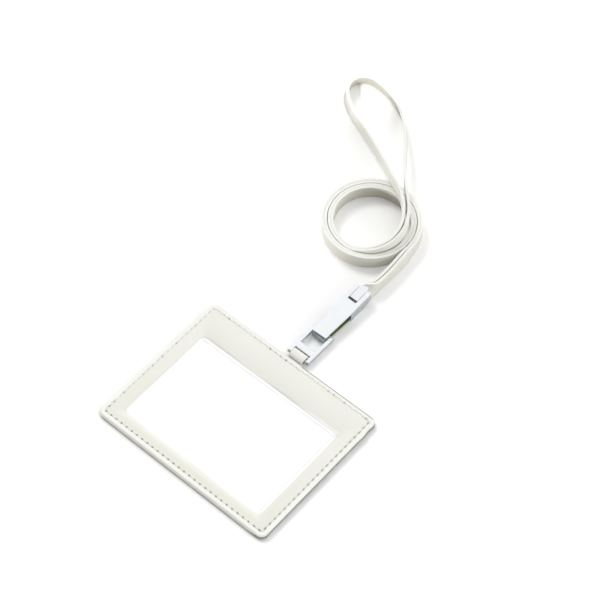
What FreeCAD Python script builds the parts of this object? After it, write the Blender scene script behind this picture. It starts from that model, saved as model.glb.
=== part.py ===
"""Identity badge wallet: a sewn window wallet on a snap hook, with a flat two-strand neck lanyard.

Millimetres, +Z up. The wallet lies on its back with the middle of its back face at the origin,
X along its long edge and Y towards the hook. The lanyard lies behind it, standing on its edge.
"""
import FreeCAD, Part
import math
import os

V = FreeCAD.Vector

# Wallet: two leather panels round a card pocket that is open on the +X side
wallet_width = 110.0
wallet_height = 87.0
wallet_corner = 4.0
back_thick = 1.0
film_thick = 0.25
film_inset = 0.5
front_thick = 1.2
front_round = 0.4
border_side = 10.0
border_top = 18.8
border_bottom = 9.2
window_corner = 3.0
filler_side = 6.0
filler_top = 12.0
filler_inset = 0.8
card_recess = 6.7
card_corner = 3.0
card_thick = 0.6
card_play = 0.3
card_face_play = 0.15
thumb_radius = 9.0

# Hanging tab: a leather strip folded round the lowest bar of the link, its skived tail sewn in
tab_width = 8.6
tab_leather = 1.1
tab_reach = 3.3
tab_tail = 7.0
tab_play = 0.1
floor_gap = 0.1

# Link: a metal ladder with two round end bars and a flat middle bar
bar_radius = 1.0
bar_play = 0.2
arm_cover = 0.1
arm_play = 0.6
arm_thick = 1.9
lower_window = 3.3
middle_bar = 4.0
middle_bar_round = 0.35
upper_window = 10.4

# Hook: a bent sheet with a nose, a lip under the bar and a housing for the straps
sheet = 0.8
nose_height = 5.4
plate_slope = 0.05
nose_play = 1.9
nose_side_play = 0.6
lip_thick = 0.7
outer_bend = 1.2
inner_bend = 0.5
hook_mouth = 20.2
housing_wall = 0.85
housing_length = 16.0
housing_floor = 0.6
floor_start = 3.5
heel_length = 7.0
heel_rise = 2.2
pin_radius = 0.45
pin_fit = 0.03

# Gate: a sprung leaf that closes the hook from inside the lip
gate_side_play = 0.35
gate_thick = 0.8
gate_edge = 0.05
gate_front_play = 0.4
gate_lap = 1.0
gate_bar_gap = 0.7
gate_seat = 0.2
gate_pin_back = 1.6
gate_pin_height = 1.45
knuckle_radius = 0.85
knuckle_gap_half = 1.6
spring_wire = 0.3
spring_radius = 0.72
spring_pitch = 0.6
spring_turns = 4
spring_sides = 6
spring_leg = 4.0
spring_stub = 2.0
spring_seat = 0.05

# Clamp lever: a tongue between the housing's side strips, with a lobe that bites the straps
side_strip = 2.5
lever_side_play = 0.2
lever_arm = 6.8
lever_overhang = 2.4
lever_toe = 1.2
lever_slot = 1.6
lever_pin_drop = 1.05
lever_barrel = 0.95
lobe_play = 0.05

# Straps: two flat leather strands that run side by side from the housing to the neck loop
strap_width = 8.0
strap_thick = 1.25
strand_gap = 0.45
clamped_gap = 0.1
strap_tail = 10.5
strap_seat = 0.1
strap_side_play = 0.3
coil_radius = 25.15
lead_shift = 1.6
lead_length = 35.3
pass_step_deg = 30.0

# One overrun serves every cut, and places closer than the tolerance count as one
overrun = 2.0
same_place = 0.01

# The lead's points from the housing's rear: shift in X, distance in Y and tilt in degrees, below zero to the left
flat_tilt = -90.0
lead_route = [
    (0.0, -4.0, flat_tilt),
    (0.0, -1.9, -82.0),
    (0.1, 0.2, -70.0),
    (0.6, 1.8, -59.0),
    (1.4, 3.4, -40.0),
    (2.0, 5.0, -19.0),
    (2.4, 6.8, -5.0),
    (2.6, 10.0, 0.0),
    (2.8, 16.0, 0.0),
    (2.6, 24.0, -3.0),
    (2.1, 31.0, -4.0),
]

# The third pass climbs from the floor to the top of the turns below it: strap height at each corner
climb = [0.6, 2.4, 4.6, 6.9, 8.5]

# The neck loop's points from the middle of the coil: X, Y and the height of the strap's lower edge
left_leg_route = [
    (4.4, 19.2, 9.0),
    (-9.6, 26.2, 9.0),
    (-29.6, 38.0, 5.0),
    (-50.2, 47.8, 1.2),
    (-63.8, 55.1, 0.0),
    (-69.8, 62.7, 0.0),
    (-69.8, 70.35, 0.0),
]
right_leg_route = [
    (7.9, 19.6, 9.0),
    (-3.7, 31.4, 9.0),
    (-19.4, 52.8, 4.6),
    (-33.4, 67.0, 0.9),
    (-44.6, 73.2, 0.0),
    (-55.0, 75.7, 0.0),
    (-64.2, 75.8, 0.0),
]
arc_share = 0.45

# The window, the pocket and the levels of the wallet's layers
window_width = wallet_width - 2 * border_side
window_height = wallet_height - border_top - border_bottom
window_y = (border_bottom - border_top) / 2
pocket_depth = card_thick + 2 * card_face_play
pocket_z = back_thick
film_z = pocket_z + pocket_depth
front_z = film_z + film_thick
front_top = front_z + front_thick

# Half widths in X: the rails clear the tab, the nose clears the rails and the housing clears the straps
arm_inner = tab_width / 2 + arm_play
nose_half = arm_inner - nose_side_play
housing_inner = strap_width / 2 + strap_side_play
housing_half = housing_inner + housing_wall
gate_half = housing_inner - gate_side_play
slot_half = housing_half - side_strip
lever_half = slot_half - lever_side_play

# Heights in the housing, from the clamped straps up to the lobe that presses on them
clamped_pitch = strap_thick + clamped_gap
clamped_z = housing_floor + strap_seat + clamped_pitch / 2 + strap_thick / 2
lobe_low = clamped_z + clamped_pitch / 2 + strap_thick / 2 + lobe_play

# Places along Y, from the wallet's top edge to the end of the housing
wallet_top = wallet_height / 2
arm_half_height = bar_radius + arm_cover
loop_radius = bar_radius + bar_play + tab_leather
link_z = loop_radius + floor_gap
lower_bar_y = wallet_top + tab_reach
middle_bar_y = lower_bar_y + lower_window
upper_bar_y = middle_bar_y + middle_bar + upper_window + bar_radius
nose_y = upper_bar_y - bar_radius - nose_play - sheet
gate_end_y = upper_bar_y + bar_radius + gate_bar_gap
lip_end_y = gate_end_y + gate_lap
housing_y = nose_y + hook_mouth
rear_y = housing_y + housing_length
gate_pin_y = housing_y + gate_pin_back
lever_pin_y = rear_y - lever_arm
lever_front_y = lever_pin_y - lever_toe
slot_y = lever_front_y - lever_slot

# The lever's pin lies just under the top plate, which rises towards the rear
lever_pin_z = nose_height + plate_slope * (lever_pin_y - nose_y) - lever_pin_drop
lobe_reach = lever_pin_z - lobe_low

# Places of the straps
strand_pitch = strap_thick + strand_gap
pair_pitch = 2 * strand_pitch
turn_y = rear_y + lead_length
coil_x = lead_shift - coil_radius - strand_pitch
coil_y = turn_y + strand_pitch
LEFT = -1
RIGHT = 1


def rounded_face(width, height, corner, x, y, z):
    """A rectangle with round corners about (x, y), flat at height z."""
    half_w = width / 2
    half_h = height / 2
    diagonal = corner * math.sqrt(0.5)
    edges = []
    corners = [(1, 1), (-1, 1), (-1, -1), (1, -1)]
    ends = []
    for sx, sy in corners:
        centre = V(x + sx * (half_w - corner), y + sy * (half_h - corner), z)
        side = centre + V(sx * corner, 0, 0)
        level = centre + V(0, sy * corner, 0)
        middle = centre + V(sx * diagonal, sy * diagonal, 0)
        first, last = (side, level) if sx * sy > 0 else (level, side)
        edges.append(Part.Arc(first, middle, last).toShape())
        ends.append((first, last))
    for index, (first, last) in enumerate(ends):
        following = ends[(index + 1) % len(ends)][0]
        edges.append(Part.LineSegment(last, following).toShape())
    return Part.Face(Part.Wire(Part.__sortEdges__(edges)))


def plate(width, height, corner, x, y, z, thick):
    """A flat piece with round corners that stands from z upwards."""
    return rounded_face(width, height, corner, x, y, z).extrude(V(0, 0, thick))


def block(x0, x1, y0, y1, z0, z1):
    """A box between two corners."""
    return Part.makeBox(x1 - x0, y1 - y0, z1 - z0, V(x0, y0, z0))


def side_profile(points, half_width):
    """A closed outline in the YZ plane, carried across X from -half_width to +half_width."""
    outline = [V(-half_width, y, z) for y, z in points]
    wire = Part.makePolygon(outline + outline[:1])
    return Part.Face(wire).extrude(V(2 * half_width, 0, 0))


def cross_rod(radius, half_length, y, z):
    """A round bar along X, centred on x = 0."""
    return Part.makeCylinder(radius, 2 * half_length, V(-half_length, y, z), V(1, 0, 0))


def plate_top(y):
    """Height of the hook's sloping top at y."""
    return nose_height + plate_slope * (y - nose_y)


def plate_under(y):
    """Height of the underside of the hook's top plate at y."""
    return plate_top(y) - sheet


def sheet_half(y):
    """Half the width of the hook's sheet at y, which tapers from the housing to the nose."""
    return nose_half + (housing_half - nose_half) * (y - nose_y) / (housing_y - nose_y)


def plan_plate(half_widths, z, thick):
    """A flat piece that is symmetric about x = 0, from (y, half width) pairs, standing from z upwards."""
    right = [V(half, y, z) for y, half in half_widths]
    left = [V(-half, y, z) for y, half in reversed(half_widths)]
    return Part.Face(Part.makePolygon(right + left + right[:1])).extrude(V(0, 0, thick))


def edges_across(shape, places):
    """The edges along X that pass through the given (y, z) places."""
    found = []
    for edge in shape.Edges:
        first = edge.Vertexes[0].Point
        last = edge.Vertexes[-1].Point
        if abs(first.y - last.y) + abs(first.z - last.z) > same_place:
            continue
        for y, z in places:
            if abs(first.y - y) + abs(first.z - z) < same_place:
                found.append(edge)
    return found


def rim_edges(shape, z):
    """The edges that lie flat at height z."""
    return [e for e in shape.Edges if abs(e.BoundBox.ZMin - z) + abs(e.BoundBox.ZMax - z) < same_place]


def front_panel():
    """Front leather with the window cut out and its upper edges rounded over."""
    panel = plate(wallet_width, wallet_height, wallet_corner, 0, 0, front_z, front_thick)
    hole = plate(window_width, window_height, window_corner, 0, window_y,
                 front_z - overrun, front_thick + 2 * overrun)
    panel = panel.cut(hole)
    return panel.makeFillet(front_round, rim_edges(panel, front_top))


def back_panel():
    """Back leather with a thumb cut-out at the pocket's mouth."""
    panel = plate(wallet_width, wallet_height, wallet_corner, 0, 0, 0, back_thick)
    thumb = Part.makeCylinder(thumb_radius, back_thick + 2 * overrun,
                              V(wallet_width / 2, window_y, -overrun))
    return panel.cut(thumb)


def pocket_bounds():
    """The pocket inside the filler: left, bottom and top."""
    left = -wallet_width / 2 + filler_side
    bottom = -wallet_top + filler_side
    top = wallet_top - filler_top
    return left, bottom, top


def edge_filler():
    """The spacer that holds the panels apart on three sides, notched for the tab's tail."""
    left, bottom, top = pocket_bounds()
    filler = plate(wallet_width - 2 * filler_inset, wallet_height - 2 * filler_inset,
                   wallet_corner - filler_inset, 0, 0, pocket_z, pocket_depth)
    low = pocket_z - overrun
    high = film_z + overrun
    pocket = block(left, wallet_width / 2 + overrun, bottom, top, low, high)
    notch_half = tab_width / 2 + tab_play
    notch = block(-notch_half, notch_half, wallet_top - tab_tail - tab_play, wallet_top + overrun, low, high)
    return filler.cut(pocket).cut(notch)


def window_film():
    """The clear film that is sewn in behind the front panel."""
    return plate(wallet_width - 2 * film_inset, wallet_height - 2 * film_inset,
                 wallet_corner - film_inset, 0, 0, film_z, film_thick)


def insert_card():
    """A blank card in the pocket, held clear of the filler and of both faces."""
    left, bottom, top = pocket_bounds()
    height = top - bottom - 2 * card_play
    start = left + card_play
    end = wallet_width / 2 - card_recess
    y = (top + bottom) / 2
    return plate(end - start, height, card_corner, (start + end) / 2, y, pocket_z + card_face_play, card_thick)


def hanging_tab():
    """Folded leather: a round loop on the bar, a neck that closes to the wallet and a thin tail."""
    half = tab_width / 2
    loop = cross_rod(loop_radius, half, lower_bar_y, link_z)
    neck = side_profile([
        (wallet_top, pocket_z),
        (wallet_top, film_z),
        (lower_bar_y, link_z + loop_radius),
        (lower_bar_y, link_z - loop_radius),
    ], half)
    tail = block(-half, half, wallet_top - tab_tail, wallet_top, pocket_z, film_z)
    bore = cross_rod(bar_radius + bar_play, half + overrun, lower_bar_y, link_z)
    return loop.fuse(neck).fuse(tail).removeSplitter().cut(bore)


def link_arm(side):
    """One rail of the ladder, with ends that are round about the two bars."""
    x = side * arm_inner if side > 0 else -arm_inner - arm_thick
    low = Part.makeCylinder(arm_half_height, arm_thick, V(x, lower_bar_y, link_z), V(1, 0, 0))
    high = Part.makeCylinder(arm_half_height, arm_thick, V(x, upper_bar_y, link_z), V(1, 0, 0))
    rail = block(x, x + arm_thick, lower_bar_y, upper_bar_y, link_z - arm_half_height, link_z + arm_half_height)
    return rail.fuse(low).fuse(high)


def link_frame():
    """Ladder link: two rails, two round end bars and a flat middle bar."""
    middle = block(-arm_inner, arm_inner, middle_bar_y, middle_bar_y + middle_bar,
                   link_z - arm_half_height, link_z + arm_half_height)
    corners = [(y, z) for y in (middle_bar_y, middle_bar_y + middle_bar)
               for z in (link_z - arm_half_height, link_z + arm_half_height)]
    middle = middle.makeFillet(middle_bar_round, edges_across(middle, corners))
    pieces = [link_arm(LEFT), link_arm(RIGHT), middle]
    for bar_y in (lower_bar_y, upper_bar_y):
        pieces.append(cross_rod(bar_radius, arm_inner + arm_thick / 2, bar_y, link_z))
    return pieces[0].fuse(pieces[1:]).removeSplitter()


def hook_sheet():
    """Lip, nose and top plate as one bent sheet, tapered in plan towards the nose."""
    inner_y = nose_y + sheet
    sheet_profile = side_profile([
        (lip_end_y, 0), (nose_y, 0), (nose_y, nose_height), (slot_y, plate_top(slot_y)),
        (slot_y, plate_under(slot_y)), (inner_y, plate_under(inner_y)), (inner_y, lip_thick),
        (lip_end_y, lip_thick),
    ], housing_half)
    outer = edges_across(sheet_profile, [(nose_y, 0), (nose_y, nose_height)])
    sheet_profile = sheet_profile.makeFillet(outer_bend, outer)
    inner = edges_across(sheet_profile, [(inner_y, plate_under(inner_y)), (inner_y, lip_thick)])
    sheet_profile = sheet_profile.makeFillet(inner_bend, inner)
    taper = plan_plate([(nose_y, nose_half), (housing_y, housing_half), (rear_y, housing_half)],
                       0, plate_top(rear_y))
    return sheet_profile.common(taper)


def housing():
    """Box for the strap ends: two walls, a short floor, a raised heel and a slot for the lever."""
    shell = side_profile([
        (housing_y, 0), (rear_y - heel_length, 0), (rear_y, heel_rise),
        (rear_y, plate_top(rear_y)), (housing_y, plate_top(housing_y)),
    ], housing_half)
    front = housing_y - overrun
    behind = rear_y + overrun
    room = side_profile([
        (front, housing_floor), (behind, housing_floor),
        (behind, plate_under(behind)), (front, plate_under(front)),
    ], housing_inner)
    under_gate = block(-housing_inner, housing_inner, front, housing_y + floor_start, -overrun, lobe_low)
    slot = block(-slot_half, slot_half, slot_y, behind, housing_floor, plate_top(behind) + overrun)
    return shell.cut(room).cut(under_gate).cut(slot)


def hook_body():
    """The hook's sheet and housing as one pressed piece, drilled for both pins."""
    body = hook_sheet().fuse(housing()).removeSplitter()
    hole = pin_radius + pin_fit
    for y, z in ((gate_pin_y, gate_pin_height), (lever_pin_y, lever_pin_z)):
        body = body.cut(cross_rod(hole, housing_half + overrun, y, z))
    return body


def gate():
    """Leaf as wide as the sheet above it, narrowed to two knuckles in the housing; its free end lies over the lip."""
    leaf_z = lip_thick + gate_seat
    front_y = housing_y - gate_front_play
    leaf = plan_plate([
        (gate_end_y, sheet_half(gate_end_y) - gate_edge), (front_y, sheet_half(front_y) - gate_edge),
        (front_y, gate_half), (gate_pin_y, gate_half),
    ], leaf_z, gate_thick)
    knuckle = cross_rod(knuckle_radius, gate_half, gate_pin_y, gate_pin_height)
    room = block(-knuckle_gap_half, knuckle_gap_half, gate_pin_y - knuckle_radius - spring_wire,
                 gate_pin_y + knuckle_radius + overrun, -overrun, gate_pin_height + knuckle_radius + overrun)
    bore = cross_rod(pin_radius + 2 * pin_fit, gate_half + overrun, gate_pin_y, gate_pin_height)
    return leaf.fuse(knuckle).cut(room).cut(bore)


def gate_spring():
    """Torsion spring on the gate's pin, its long leg pressing on the leaf; the wire has flat sides."""
    length = spring_pitch * spring_turns
    helix = Part.makeHelix(spring_pitch, length, spring_radius)
    leg_end = V(spring_radius, -spring_leg, 0)
    stub_end = V(spring_radius, spring_stub, length)
    leg = Part.LineSegment(leg_end, V(spring_radius, 0, 0)).toShape()
    stub = Part.LineSegment(V(spring_radius, 0, length), stub_end).toShape()
    angles = [2 * math.pi * index / spring_sides for index in range(spring_sides + 1)]
    ring = Part.makePolygon([leg_end + V(math.cos(a), 0, math.sin(a)) * (spring_wire / 2) for a in angles])
    spring = Part.Wire([leg, *helix.Edges, stub]).makePipeShell([ring], True, True)
    spring.rotate(V(0, 0, 0), V(0, 1, 0), -90)
    leaf_top = lip_thick + gate_seat + gate_thick - gate_pin_height
    drop = spring_radius - leaf_top - spring_wire / 2 - spring_seat
    spring.rotate(V(0, 0, 0), V(1, 0, 0), math.degrees(math.atan2(drop, spring_leg)))
    spring.translate(V(length / 2, gate_pin_y, gate_pin_height))
    return spring


def pin(y, z):
    """A plain pin across the housing, flush with its walls."""
    return cross_rod(pin_radius, housing_half, y, z)


def clamp_lever():
    """Tongue level with the plate, with a round finger end, a barrel on the pin and a lobe on the upper strap."""
    tip_y = rear_y + lever_overhang
    top = lever_pin_z + lever_pin_drop
    tongue = block(-lever_half, lever_half, lever_front_y, tip_y - lever_half, top - sheet, top)
    finger = Part.makeCylinder(lever_half, sheet, V(0, tip_y - lever_half, top - sheet))
    barrel = cross_rod(lever_barrel, lever_half, lever_pin_y, lever_pin_z)
    lobe = block(-lever_half, lever_half, lever_pin_y - pin_radius, lever_pin_y + pin_radius,
                 lobe_low, lever_pin_z)
    lobe = lobe.common(cross_rod(lobe_reach, lever_half, lever_pin_y, lever_pin_z))
    bore = cross_rod(pin_radius + 2 * pin_fit, lever_half + overrun, lever_pin_y, lever_pin_z)
    lever = tongue.fuse([finger, barrel, lobe]).removeSplitter().cut(bore)
    lever.rotate(V(0, lever_pin_y, lever_pin_z), V(1, 0, 0), math.degrees(math.atan(plate_slope)))
    return lever


def tilted_section(x, y, z, tilt, pitch, side):
    """Corners of one strand's cross-section at y, in a pair that leans by tilt degrees, to +X above zero."""
    lean = math.radians(tilt)
    along = V(math.sin(lean), 0, math.cos(lean)) * (strap_width / 2)
    across = V(math.cos(lean), 0, -math.sin(lean))
    middle = V(x, y, z) + across * (side * pitch / 2)
    half = across * (strap_thick / 2)
    return [middle + along + half, middle + along - half, middle - along - half, middle - along + half]


def flat_face(corners):
    """A flat face with these corners."""
    return Part.Face(Part.makePolygon(corners + corners[:1]))


def faceted_solid(sections):
    """A solid through sections with equally many corners: flat triangles between neighbours, and a flat face on each end."""
    faces = [flat_face(sections[0]), flat_face(sections[-1])]
    for here, there in zip(sections, sections[1:]):
        for index, corner in enumerate(here):
            after = (index + 1) % len(here)
            faces.append(flat_face([corner, here[after], there[index]]))
            faces.append(flat_face([here[after], there[after], there[index]]))
    solid = Part.Solid(Part.makeShell(faces))
    if solid.Volume < 0:
        solid.reverse()
    return solid


def lead_sections(side):
    """Sections of a lead: flat in the housing, turned up on edge where it meets the coil."""
    sections = [tilted_section(0, rear_y - strap_tail, clamped_z, flat_tilt, clamped_pitch, side)]
    for shift, ahead, tilt in lead_route:
        share = 1 - tilt / flat_tilt
        pitch = clamped_pitch + (strand_pitch - clamped_pitch) * share
        lean = math.radians(tilt)
        reach = strap_width / 2 * math.cos(lean) + (pitch + strap_thick) / 2 * abs(math.sin(lean))
        sections.append(tilted_section(shift, rear_y + ahead, max(clamped_z, reach), tilt, pitch, side))
    sections.append(tilted_section(lead_shift, turn_y, strap_width / 2, 0, strand_pitch, side))
    return sections


def strap_lead(side):
    """One strand from the clamp to the coil: a straight flat tail and a stretch that twists upright."""
    return faceted_solid(lead_sections(side))


def half_turn(x, y, radius, start_deg, end_deg):
    """A flat arc about (x, y) at half the strap's width above the floor."""
    z = strap_width / 2
    angles = [math.radians(a) for a in (start_deg, (start_deg + end_deg) / 2, end_deg)]
    points = [V(x + radius * math.cos(a), y + radius * math.sin(a), z) for a in angles]
    return Part.Arc(*points).toShape()


def coil_path(side):
    """Two turns as arcs about two centres, each half turn one strand pitch smaller than the last."""
    shift = side * strand_pitch / 2
    return Part.Wire([
        half_turn(coil_x, turn_y, coil_radius + strand_pitch + shift, 0, 90),
        half_turn(coil_x, coil_y, coil_radius + shift, 90, 270),
        half_turn(coil_x, turn_y, coil_radius - strand_pitch + shift, 270, 450),
        half_turn(coil_x, coil_y, coil_radius - pair_pitch + shift, 90, 270),
    ])


def upright_section(point, heading):
    """A strap's cross-section standing on edge, square to the heading in plan."""
    across = V(-heading.y, heading.x, 0).normalize() * (strap_thick / 2)
    up = V(0, 0, strap_width / 2)
    corners = [point + across + up, point - across + up, point - across - up, point + across - up]
    return Part.makePolygon(corners + corners[:1])


def upright_strip(path):
    """The strap's section carried along a path with its width kept upright."""
    first = path.OrderedEdges[0]
    section = upright_section(first.valueAt(first.FirstParameter), first.tangentAt(first.FirstParameter))
    sweep = Part.BRepOffsetAPI.MakePipeShell(path)
    sweep.setBiNormalMode(V(0, 0, 1))
    sweep.add(section)
    sweep.build()
    sweep.makeSolid()
    return sweep.shape()


def strap_coil(side):
    """One strand's two turns, standing on the floor."""
    return upright_strip(coil_path(side))


def third_pass(side):
    """Corners of the climbing pass on the coil's right side, from its start on the floor."""
    radius = coil_radius - strand_pitch - pair_pitch + side * strand_pitch / 2
    z = strap_width / 2
    corners = [V(coil_x, turn_y - radius, z)]
    far = radius / math.cos(math.radians(pass_step_deg / 2))
    for index, height in enumerate(climb):
        angle = math.radians(-90 + pass_step_deg * (index + 0.5))
        corners.append(V(coil_x + far * math.cos(angle), turn_y + far * math.sin(angle), z + height))
    return corners


def loop_corners():
    """The whole neck loop: up the left leg, round the tip and back down the right leg."""
    z = strap_width / 2
    left = [V(coil_x + x, coil_y + y, z + low) for x, y, low in left_leg_route]
    right = [V(coil_x + x, coil_y + y, z + low) for x, y, low in right_leg_route]
    return third_pass(LEFT) + left + right[::-1] + third_pass(RIGHT)[::-1]


def rounded_route(corners):
    """Straight runs joined by tangent arcs; gives the edges and prints the arcs' radii."""
    edges = []
    radii = []
    here = corners[0]
    for before, corner, after in zip(corners, corners[1:], corners[2:]):
        back = before - corner
        ahead = after - corner
        turn = math.pi - back.getAngle(ahead)
        trim = arc_share * min(back.Length, ahead.Length)
        radius = trim / math.tan(turn / 2)
        start = corner + back.normalize() * trim
        end = corner + ahead.normalize() * trim
        inward = (back + ahead).normalize()
        middle = corner + inward * (radius / math.cos(turn / 2) - radius)
        edges.append(Part.LineSegment(here, start).toShape())
        edges.append(Part.Arc(start, middle, end).toShape())
        radii.append(radius)
        here = end
    edges.append(Part.LineSegment(here, corners[-1]).toShape())
    print("neck loop radii, mm:", [round(r, 1) for r in radii])
    return edges


def loop_paths():
    """The loop's left and right halves, which meet at the seam in the middle of the tip's run."""
    corners = loop_corners()
    edges = rounded_route(corners)
    tip = 2 * (len(third_pass(LEFT)) + len(left_leg_route) - 1)
    run = edges[tip]
    ends = [vertex.Point for vertex in run.Vertexes]
    seam = (ends[0] + ends[-1]) / 2
    left = edges[:tip] + [Part.LineSegment(ends[0], seam).toShape()]
    right = [Part.LineSegment(seam, ends[-1]).toShape()] + edges[tip + 1:]
    return Part.Wire(left), Part.Wire(right)


def least_turn_gap(path):
    """Least distance between one strand's own turns, less the strap's thickness, from points."""
    count = int(path.Length)
    points = path.discretize(count)
    spacing = path.Length / (count - 1)
    apart = int(math.pi * (coil_radius - 2 * pair_pitch) / spacing)
    least = min((points[i] - points[j]).Length for i in range(count) for j in range(i + apart, count))
    return least - strap_thick


def report_strap(name, solid, path):
    """Prints a strand's volume beside its section times its length."""
    expected = strap_width * strap_thick * path.Length
    print(name, "length", round(path.Length, 1), "volume share", round(solid.Volume / expected, 4))


def build_nodes():
    """Every piece of the object by its name."""
    nodes = {
        "front_panel": front_panel(),
        "back_panel": back_panel(),
        "edge_filler": edge_filler(),
        "window_film": window_film(),
        "insert_card": insert_card(),
        "hanging_tab": hanging_tab(),
        "link_frame": link_frame(),
        "hook_body": hook_body(),
        "gate": gate(),
        "gate_pin": pin(gate_pin_y, gate_pin_height),
        "gate_spring": gate_spring(),
        "clamp_lever": clamp_lever(),
        "lever_pin": pin(lever_pin_y, lever_pin_z),
    }
    loops = dict(zip((LEFT, RIGHT), loop_paths()))
    for side, name in ((LEFT, "left"), (RIGHT, "right")):
        nodes[f"{name}_strap_lead"] = strap_lead(side)
        nodes[f"{name}_strap_coil"] = strap_coil(side)
        nodes[f"{name}_strap_loop"] = upright_strip(loops[side])
        report_strap(f"{name} coil", nodes[f"{name}_strap_coil"], coil_path(side))
        report_strap(f"{name} loop", nodes[f"{name}_strap_loop"], loops[side])
        print(name, "coil least gap to itself, mm:", round(least_turn_gap(coil_path(side)), 2))
    return nodes


def main():
    """Builds the pieces and writes one file for each."""
    os.makedirs("parts", exist_ok=True)
    for name, shape in build_nodes().items():
        print(name, "valid", shape.isValid(), "solids", len(shape.Solids), "volume", round(shape.Volume, 1))
        shape.exportStep(f"parts/{name}.step")


main()
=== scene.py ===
# %% [markdown]
# # A badge wallet on a neck strap
# The real object is a flat leather wallet with a clear window, hung by a small metal link from a snap hook.
# The hook clamps two thin leather straps that lie in a coil and end in a neck loop. The metal was drawn as
# solids in the CAD model. This lesson loads that model as a fixed frame and dresses it: the leather, thread
# and straps are new surfaces, and every other part gets a finish of its own. All lengths are in metres.

# %% Load the frame
import math

import bpy
import numpy as np
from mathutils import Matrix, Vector


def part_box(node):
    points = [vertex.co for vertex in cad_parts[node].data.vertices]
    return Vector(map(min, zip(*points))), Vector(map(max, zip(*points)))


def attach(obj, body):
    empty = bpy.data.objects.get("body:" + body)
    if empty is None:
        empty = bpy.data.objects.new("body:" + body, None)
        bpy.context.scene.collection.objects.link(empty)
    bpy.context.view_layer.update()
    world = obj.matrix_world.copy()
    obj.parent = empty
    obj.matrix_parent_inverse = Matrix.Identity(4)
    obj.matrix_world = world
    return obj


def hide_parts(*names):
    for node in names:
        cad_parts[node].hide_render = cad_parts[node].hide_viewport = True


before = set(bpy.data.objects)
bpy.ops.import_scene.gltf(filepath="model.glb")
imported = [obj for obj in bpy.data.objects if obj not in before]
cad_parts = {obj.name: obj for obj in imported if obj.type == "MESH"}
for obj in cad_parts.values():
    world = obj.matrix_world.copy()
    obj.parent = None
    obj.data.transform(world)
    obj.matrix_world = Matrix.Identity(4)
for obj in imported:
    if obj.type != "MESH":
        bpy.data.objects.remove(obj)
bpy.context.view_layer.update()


def in_mm(lengths):
    """Lengths in millimetres, rounded for printing."""
    return np.round(np.array(lengths) * 1000, 2).tolist()


# %% [markdown]
# ## The camera
# The photograph looks down on the table from the wallet's lower right. A long lens from about a metre away
# gives the same small amount of perspective. The camera could be turned by hand until it looks right, but
# here its angles, distance and target were solved from the wallet's corners, so the picture's pixels can be
# measured.

# %% Camera
camera_azimuth, camera_elevation = 40.79, 55.75
camera_distance = 1.036
camera_target = Vector((-0.0233, 0.0748, 0.0))
camera_near = 0.01

# The lens and its sensor are in millimetres, as Blender keeps them
camera_lens, camera_sensor = 120.0, 36.0


def towards(azimuth, elevation):
    """The unit vector that points from the object to a viewer at these angles in degrees."""
    azimuth, elevation = math.radians(azimuth), math.radians(elevation)
    level = math.cos(elevation)
    return Vector((math.sin(azimuth) * level, -math.cos(azimuth) * level, math.sin(elevation)))


camera_data = bpy.data.cameras.new("camera")
camera_data.lens = camera_lens
camera_data.sensor_width = camera_sensor
camera_data.clip_start = camera_near
camera = bpy.data.objects.new("camera", camera_data)
view_line = towards(camera_azimuth, camera_elevation)
camera.location = camera_target + view_line * camera_distance
camera.rotation_euler = view_line.to_track_quat("Z", "Y").to_euler()
bpy.context.collection.objects.link(camera)
bpy.context.scene.camera = camera
print("camera at", in_mm(camera.location), "mm")

# %% [markdown]
# ## Grids into meshes
# Every new piece here is a grid of points: one direction runs along the piece, the other round it. A
# modelling tool would let you pull each point by hand. A grid is easier to change later, because a formula
# moves all its points at once, and one helper can join the cells, close the ends and turn the faces
# outwards.

# %% From a grid to a piece


def cell_quads(rows, columns, closed_rows, closed_columns):
    """The corner numbers of every cell of a grid; a closed direction joins its last line to its first."""
    number = np.arange(rows * columns).reshape(rows, columns)
    if closed_rows:
        number = np.vstack([number, number[:1]])
    if closed_columns:
        number = np.hstack([number, number[:, :1]])
    corners = [number[:-1, :-1], number[1:, :-1], number[1:, 1:], number[:-1, 1:]]
    return np.stack(corners, axis=-1).reshape(-1, 4)


def enclosed_volume(points, quads):
    """The sum of the signed tents from the origin to each quad: below zero where the faces point inwards."""
    first, second, third, fourth = (points[quads[:, corner]] for corner in range(4))
    tents = np.cross(second, third) + np.cross(third, fourth)
    return float((first * tents).sum()) / 6


def piece_from(name, points, faces):
    """A smooth mesh object with these points and faces, in the scene."""
    mesh = bpy.data.meshes.new(name)
    mesh.from_pydata(points.tolist(), [], faces)
    mesh.polygons.foreach_set("use_smooth", np.ones(len(faces), dtype=bool))
    piece = bpy.data.objects.new(name, mesh)
    bpy.context.collection.objects.link(piece)
    print(name, len(mesh.vertices), "points", len(mesh.polygons), "faces")
    return piece


def ring_piece(name, grid):
    """A closed ring: both directions of the grid run round and meet their own start."""
    points = grid.reshape(-1, 3)
    quads = cell_quads(*grid.shape[:2], True, True)
    if enclosed_volume(points, quads) < 0:
        quads = quads[:, ::-1]
    return piece_from(name, points, quads.tolist())


def tubes_piece(name, grids):
    """Closed tubes of one pattern, an array of tubes by rows by columns.

    The columns run round each tube, and its flat ends are filled.
    """
    count, rows, columns = grids.shape[:3]
    points = grids.reshape(-1, 3)
    quads = cell_quads(rows, columns, False, True)
    first_end = np.arange(columns)
    last_end = first_end[::-1] + (rows - 1) * columns
    ends = np.stack([first_end, last_end])
    if enclosed_volume(points[:rows * columns], quads) < 0:
        quads, ends = quads[:, ::-1], ends[:, ::-1]
    starts = np.arange(count)[:, None, None] * (rows * columns)
    faces = (quads + starts).reshape(-1, 4).tolist() + (ends + starts).reshape(-1, columns).tolist()
    return piece_from(name, points, faces)


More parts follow.
